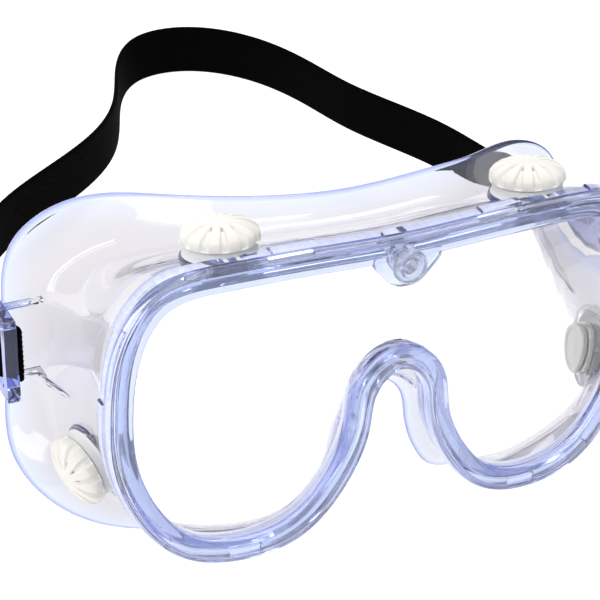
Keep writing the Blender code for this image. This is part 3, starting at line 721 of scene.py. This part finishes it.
def goggle_body():
    bm = skin(body_rings(stations(STATIONS)))
    body = finish_mesh("goggle_body_skin", bm, PVC)
    joined = [cylinder(BOSS_R, -BOSS_IN, BOSS_UP, place) for place in VENTS.values()]
    joined += [turned("collar", [(0, -0.9), (BOSS_R + 1.3, -0.9), (BOSS_R + 1.1, -0.1), (BOSS_R + 0.5, 0.35),
                                 (BOSS_R + 0.12, 0.9), (BOSS_R - 0.4, 1.6), (0, 1.6)], place, None)
               for place in VENTS.values()]
    cuts = [cylinder(BORE_R, -8, 8, place) for place in VENTS.values()]
    for hand in ("left", "right"):
        solids, slot = lug_solids(hand)
        joined += solids
        cuts.append(slot)
    joined.append(prism(rounded(TAB, 2.6, 6, True), -TAB_BACK, TAB_FRONT, STUD_FRAME, bevel=0.3))
    cuts.append(cylinder(STEM_R + FIT, -3, 3, STUD_FRAME))
    cuts.append(cylinder(WASHER_R + FIT, -10, -GROOVE_BACK + 0.2, STUD_FRAME))
    panel = rounded(rectangle(-PANEL_X, PANEL_Y[0], PANEL_X, PANEL_Y[1]), 1.6, 5, True)
    cuts.append(prism(panel, PANEL_Z, PANEL_Z + 5))
    combine(body, joined, "UNION")
    combine(body, cuts, "DIFFERENCE")
    smooth(body.data, 38)
    body.data.materials.append(MILKY)
    for poly in body.data.polygons:
        if on_boss(poly.center):
            poly.material_index = 1
    # painted edge shade for the body's blue-violet edges
    painted_edge_shade(body)
    enter(body, "goggles", "goggle_body")


def lens():
    """The bowed lens with rounded edges, in the rim's groove, and its stem hole."""
    rim, inward, _, _ = loops(np.linspace(0, ROUND, STATIONS, endpoint=False))
    y0 = (GROOVE_FRONT + GROOVE_BACK - LENS_T) / 2
    bm = bmesh.new()
    r = 0.35
    rings = [at_depth(rim, inward, GROOVE_DEPTH + FIT + o, y0 + y) for o, y in
             ((r, 0), (r * 0.3, r * 0.3), (0, r), (0, LENS_T - r), (r * 0.3, LENS_T - r * 0.3), (r, LENS_T))]
    for ring in rings:
        ring[:, 1] -= ring[:, 0] ** 2 / (2 * LENS_BOW)
    bm = skin(rings, closed_loop=False)
    for x in range(-72, 73, 4):
        bmesh.ops.bisect_plane(bm, geom=bm.verts[:] + bm.edges[:] + bm.faces[:], plane_co=(x, 0, 0),
                               plane_no=(1, 0, 0))
    for v in bm.verts:
        v.co.y += v.co.x ** 2 / (2 * LENS_BOW)
    bmesh.ops.triangulate(bm, faces=[f for f in bm.faces if len(f.verts) > 4])
    ob = finish_mesh("lens_sheet", bm, LENS_PC)
    combine(ob, [cylinder(STEM_R + FIT, -8, 3, STUD_FRAME)], "DIFFERENCE")
    smooth(ob.data, 30)
    enter(ob, "goggles", "lens")


def petal_dip(r, a):
    """0 on a petal, 1 in the middle of the flute between two."""
    turn = (a * CAP_PETALS / (2 * math.pi)) % 1.0
    off = abs(turn - 0.5) * 2            # 0 in the flute's middle, 1 on the petal's crown
    wide = 0.22 + 0.2 * min(1.0, max(0.0, (r - 3.2) / 6.0))
    edge = min(1.0, max(0.0, (wide - off) / 0.3 + 0.35))
    return edge * edge * (3 - 2 * edge)


def petals(r, z, a):
    """Domed petals round the cap's rim, with a soft flute between each two."""
    if z < BOSS_UP + 0.9 or r < 2.8:
        return r, z
    k = min(1.0, (r - 2.8) / 2.2)
    crown = math.cos(a * CAP_PETALS) * -0.5 + 0.5
    dip = petal_dip(r, a)
    return r - 0.6 * dip * k * min(1.0, r / 9), z - (0.6 * dip - 0.16 * crown) * k


def dome(r, top):
    """Height of the cap's dome at radius r."""
    return top + 1.1 + (CAP_H - 1.1) * math.sqrt(max(0.0, 1 - (r / (CAP_R + 0.15)) ** 2)) ** 0.9


def vent_cap(spot, place):
    """The white snap-in cap: a fluted dome over the boss, with a slotted tube down its bore."""
    top = BOSS_UP + FIT
    prof = [(0, dome(0, top))] + [(r, dome(r, top)) for r in np.r_[0.8:9.0:0.4, 9.2, 9.5, 9.75]]
    prof += [(CAP_R, top + 0.95), (CAP_R, top + 0.3), (CAP_R - 0.25, top), (5.9, top), (5.9, -BOSS_IN + 0.6),
             (5.6, -BOSS_IN + 0.3), (5.0, -BOSS_IN + 0.3), (5.0, top + 0.9), (4.4, top + 1.7), (0, top + 2.0)]
    cap = turned(f"vent_dome_{spot}", prof, place, VENT_PE, sides=240, hook=petals)
    cuts = []
    for k in range(4):
        turn = place @ Matrix.Rotation(math.radians(45 + 90 * k), 4, "Z")
        cuts.append(prism(rectangle(3.2, -1.2, 7, 1.2), -BOSS_IN - 1, top - 1.4, turn))
    for k in range(CAP_PETALS):
        turn = place @ Matrix.Rotation(2 * math.pi * (k + 0.5) / CAP_PETALS, 4, "Z")
        cuts.append(prism(rectangle(4.3, -0.2, 5.5, 0.2), top + 3.1, top + 6, turn))
    combine(cap, cuts, "DIFFERENCE")
    smooth(cap.data, 35)
    enter(cap, f"vent_cap_{spot}_body", f"vent_cap_{spot}")


def vent_insides(spot, place):
    """The cup that fastens the cap from inside, with grip notches, and the splash disc under it."""
    z = -BOSS_IN - FIT
    prof = [(6.1, z - 0.15), (6.1, z - 0.8), (5.95, z - 1.0), (2.8, z - 1.0), (2.6, z - 0.8), (2.6, z),
            (3.8, z), (3.8, 0.4), (4.0, 0.6), (4.5, 0.6), (4.7, 0.4), (4.7, z), (5.95, z)]
    base = turned(f"vent_cup_{spot}", prof, place, VENT_PE, sides=96)
    turns = [place @ Matrix.Rotation(2 * math.pi * k / GRIPS, 4, "Z") for k in range(GRIPS)]
    cuts = [prism(rectangle(5.6, -0.6, 7, 0.6), z - 2, z + 1, turn) for turn in turns]
    combine(base, cuts, "DIFFERENCE")
    z -= 1.0 + FIT
    prof = [(0, z), (5.3, z), (5.6, z - 0.25), (5.6, z - 0.75), (5.35, z - 1.0), (4.7, z - 1.0),
            (4.5, z - 0.8), (1.4, z - 0.8), (1.1, z - 1.0), (0, z - 1.0)]
    disc = turned(f"vent_disc_{spot}", prof, place, DISC_PE, sides=96)
    for ob, node, slot in ((base, f"vent_base_{spot}", "white_vent_plastic"),
                           (disc, f"vent_baffle_{spot}", "grey_disc_plastic")):
        smooth(ob.data, 35)
        enter(ob, "goggles", node)


def lens_stud():
    """The round stud that locks the lens to the brow tab, and the washer on the lens's back."""
    front = TAB_FRONT + FIT
    prof = [(0, front + 1.75), (1.6, front + 1.8), (2.5, front + 1.9), (2.75, front + 1.6),
            (3.0, front + 1.45), (3.3, front + 1.5), (3.55, front + 1.9), (3.85, front + 2.1),
            (4.2, front + 1.95), (4.45, front + 1.5), (STUD_R, front + 1.2), (STUD_R, front + 0.2),
            (STUD_R - 0.2, front), (STEM_R, front), (STEM_R, 0.4 - STEM_END), (STEM_R - 0.4, -STEM_END),
            (0, -STEM_END)]
    stud = turned("stud_button", prof, STUD_FRAME, STUD_PC, sides=96)
    y = (GROOVE_FRONT + GROOVE_BACK + LENS_T) / 2 + FIT
    hole = STEM_R + FIT
    prof = [(hole, -y - 0.15), (hole + 0.15, -y), (WASHER_R - 0.2, -y), (WASHER_R, -y - 0.2),
            (WASHER_R, 0.2 - y - WASHER_T), (WASHER_R - 0.2, -y - WASHER_T), (hole + 0.15, -y - WASHER_T),
            (hole, 0.15 - y - WASHER_T)]
    washer = turned("stud_ring", prof, STUD_FRAME, STUD_PC, sides=96)
    for ob, node, body in ((stud, "lens_stud", "lens_stud_body"), (washer, "stud_washer", "goggles")):
        enter(ob, body, node)


# ---- the headband ----
def open_spline(points, step):
    """A smooth line through points, sampled about every step."""
    p = np.array(points, float)
    k = np.r_[0, np.cumsum(np.linalg.norm(np.diff(p, axis=0), axis=1))]
    n = len(p)
    h = np.diff(k)
    a = np.eye(n)
    r = np.zeros_like(p)
    for i in range(1, n - 1):
        a[i, i - 1:i + 2] = h[i - 1], 2 * (h[i - 1] + h[i]), h[i]
        r[i] = 6 * ((p[i + 1] - p[i]) / h[i] - (p[i] - p[i - 1]) / h[i - 1])
    m = np.linalg.solve(a, r)
    t = np.linspace(0, k[-1], max(2, int(k[-1] / step)) + 1)
    i = np.clip(np.searchsorted(k, t, side="right") - 1, 0, n - 2)
    u, v, w = (t - k[i])[:, None], (k[i + 1] - t)[:, None], h[i][:, None]
    return (m[i] * v ** 3 + m[i + 1] * u ** 3) / (6 * w) + (p[i] / w - m[i] * w / 6) * v \
        + (p[i + 1] / w - m[i + 1] * w / 6) * u


def hook_round(s):
    """The band's way into the lug: from its hem, inboard of the slot, out through it past the rear bar."""
    return [(s * x, y) for x, y in HOOK]


def evenly(line, step):
    """The same line with a point every step, and each point's distance along it."""
    along = np.r_[0, np.cumsum(np.linalg.norm(np.diff(line, axis=0), axis=1))]
    t = np.linspace(0, along[-1], int(along[-1] / step) + 1)
    return np.c_[np.interp(t, along, line[:, 0]), np.interp(t, along, line[:, 1])], t


RIB = 1.25                     # spacing of the elastic's cross ribs
RIB_DEPTH = 0.07
BAND_STEP = RIB / 6


def band_height(x, y):
    """Height of the band's middle: it climbs to the back, and its left run comes off the higher lug."""
    climb = max(0.0, y - LUG_BAR_REAR[0]) * BAND_RISE
    if x > 0:
        return LUG_Z["right"] + climb
    share = min(1.0, max(0.0, (BAND_LEVEL_Y - y) / (BAND_LEVEL_Y - LUG_BAR_REAR[0])))
    return LUG_Z["right"] + climb + (LUG_Z["left"] - LUG_Z["right"]) * share * share * (3 - 2 * share)


def headband():
    """The elastic: a flat strip on edge with cross ribs, soft selvedges and a folded hem at each end."""
    run = np.vstack([hook_round(1), open_spline(BAND_PATH, 1.0), hook_round(-1)[::-1]])
    line, along = evenly(run, BAND_STEP)
    soft = np.exp(-0.5 * (np.arange(-6, 7) / 2.2) ** 2)
    soft /= soft.sum()
    for k in (0, 1):
        padded_line = np.pad(line[:, k], 6, mode="reflect", reflect_type="odd")
        line[:, k] = np.convolve(padded_line, soft, mode="valid")
    total = along[-1]
    d = np.gradient(line, axis=0)
    d /= np.linalg.norm(d, axis=1)[:, None]
    side = np.c_[-d[:, 1], d[:, 0]]
    end = np.minimum(along, total - along)
    hem = np.clip((HEM + 0.4 - end) / 0.8, 0, 1)
    thick = BAND_T + (HEM_T - 0.1 - BAND_T) * hem
    # half section of the strip: place across the width and share of the half thickness
    half = BAND_W / 2
    cells = [(-half, 0.0), (-half + 0.12, 0.5), (-half + 0.45, 0.86), (-half + 0.9, 1.0)]
    cells += [(z, 1.0) for z in np.linspace(-half + 1.6, half - 1.6, 9)]
    cells += [(half - 0.9, 1.0), (half - 0.45, 0.86), (half - 0.12, 0.5), (half, 0.0)]
    loop = [(z, k) for z, k in cells] + [(z, -k) for z, k in cells[-2:0:-1]]
    rib = np.abs(np.sin(math.pi * along / RIB)) ** 0.6
    height = [band_height(*p) for p in line]
    rings = []
    for i in range(len(line)):
        h = thick[i] / 2 - RIB_DEPTH * (1 - rib[i])
        rings.append([(line[i, 0] + side[i, 0] * h * k, line[i, 1] + side[i, 1] * h * k, height[i] + z)
                      for z, k in loop])
    bm = skin(rings, closed_loop=False)
    ob = finish_mesh("headband_elastic", bm, ELASTIC, sharp=60)
    lengths = np.repeat(along, len(loop))
    widths = np.tile([z for z, _ in loop], len(line))
    store(ob, "along_mm", lengths)
    store(ob, "across_mm", widths)
    enter(ob, "goggles", "headband")
    return ob, total + 2 * HEM


STITCHES = 9


def hem_stitches(hand):
    """The hem's row of stitches: short lock stitches of round thread, each dipping into the fabric."""
    s = 1 if hand == "right" else -1
    x = HOOK[0][0] - HEM_T / 2 - 0.12
    y = HOOK[0][1] + HEM / 2
    half = BAND_W / 2 - 1.6
    pitch = 2 * half / STITCHES
    rings = []
    for k in range(STITCHES * 10 + 1):
        z = -half + k * pitch / 10
        lift = abs(math.sin(math.pi * k / 10)) ** 0.5
        centre = Vector((s * (x + 0.16 - 0.3 * lift), y + 0.16 * math.sin(math.pi * k / 5), LUG_Z[hand] + z))
        r = 0.14 + 0.07 * lift
        rings.append([centre + Vector((r * math.cos(a), r * math.sin(a), 0)) for a in
                      (2 * math.pi * i / 10 for i in range(10))])
    bm = skin(rings, closed_loop=False)
    ob = finish_mesh(f"lock_stitches_{hand}", bm, THREAD)
    enter(ob, "goggles", f"hem_stitch_{hand}")
    return ob


goggle_body()
lens()
lens_stud()
for spot, place in VENTS.items():
    vent_cap(spot, place)
    vent_insides(spot, place)
band, band_length = headband()
stitching = [hem_stitches(hand) for hand in ("left", "right")]


# ---- floor, light ----
SKY, FLOOR_GLOW = 0.6, 0.9
HORIZON, ZENITH, ZENITH_AT = (0.62, 0.66, 0.78, 1), (1, 1, 1, 1), 0.55


def floor():
    bm = bmesh.new()
    bmesh.ops.create_grid(bm, x_segments=1, y_segments=1, size=4)
    mesh = bpy.data.meshes.new("floor")
    bm.to_mesh(mesh)
    bm.free()
    ob = bpy.data.objects.new("floor", mesh)
    bpy.context.scene.collection.objects.link(ob)
    m = Nodes("floor_white")
    m.set(Base_Color=(0.35, 0.35, 0.352, 1), Roughness=0.9, Specular_IOR_Level=0.1,
          Emission_Color=(1, 1, 1, 1), Emission_Strength=FLOOR_GLOW)
    mesh.materials.append(m.mat)


def soft_light(name, place, aim, size, power, colour=(1, 1, 1)):
    data = bpy.data.lights.new(name, "AREA")
    data.shape = "RECTANGLE"
    data.size, data.size_y = size
    data.energy = power
    data.color = colour
    ob = bpy.data.objects.new(name, data)
    bpy.context.scene.collection.objects.link(ob)
    ob.location = place
    ob.rotation_euler = (Vector(aim) - Vector(place)).to_track_quat("-Z", "Y").to_euler()


def studio():
    """A bright overcast dome, greyer towards the horizon, with a few soft boxes for the highlights."""
    world = bpy.data.worlds.new("studio")
    bpy.context.scene.world = world
    world.use_nodes = True
    tree = world.node_tree
    sky = tree.nodes["Background"]
    sky.inputs["Strength"].default_value = SKY
    coord = tree.nodes.new("ShaderNodeTexCoord")
    split = tree.nodes.new("ShaderNodeSeparateXYZ")
    ramp = tree.nodes.new("ShaderNodeValToRGB")
    tree.links.new(coord.outputs["Generated"], split.inputs[0])
    tree.links.new(split.outputs["Z"], ramp.inputs["Fac"])
    tree.links.new(ramp.outputs["Color"], sky.inputs["Color"])
    ramp.color_ramp.elements[0].position = 0.0
    ramp.color_ramp.elements[0].color = HORIZON
    ramp.color_ramp.elements[1].position = ZENITH_AT
    ramp.color_ramp.elements[1].color = ZENITH
    soft_light("key", (-0.7, -0.5, 1.1), (0, 0, 0), (0.5, 0.9), 5)
    soft_light("back", (0.5, 0.9, 0.9), (0, 0, 0.05), (1.2, 0.35), 5)
    soft_light("top", (0, 0.1, 1.5), (0, 0, 0), (0.9, 0.5), 6)
    soft_light("side", (-0.9, 0.3, 0.35), (0, 0, 0.05), (0.12, 0.7), 2.0)


floor()
studio()
scene = bpy.context.scene
scene.view_settings.view_transform = "Standard"
scene.cycles.max_bounces = 28
scene.cycles.transmission_bounces = 28
scene.cycles.transparent_max_bounces = 16
scene.cycles.glossy_bounces = 8
scene.cycles.sample_clamp_indirect = 6.0
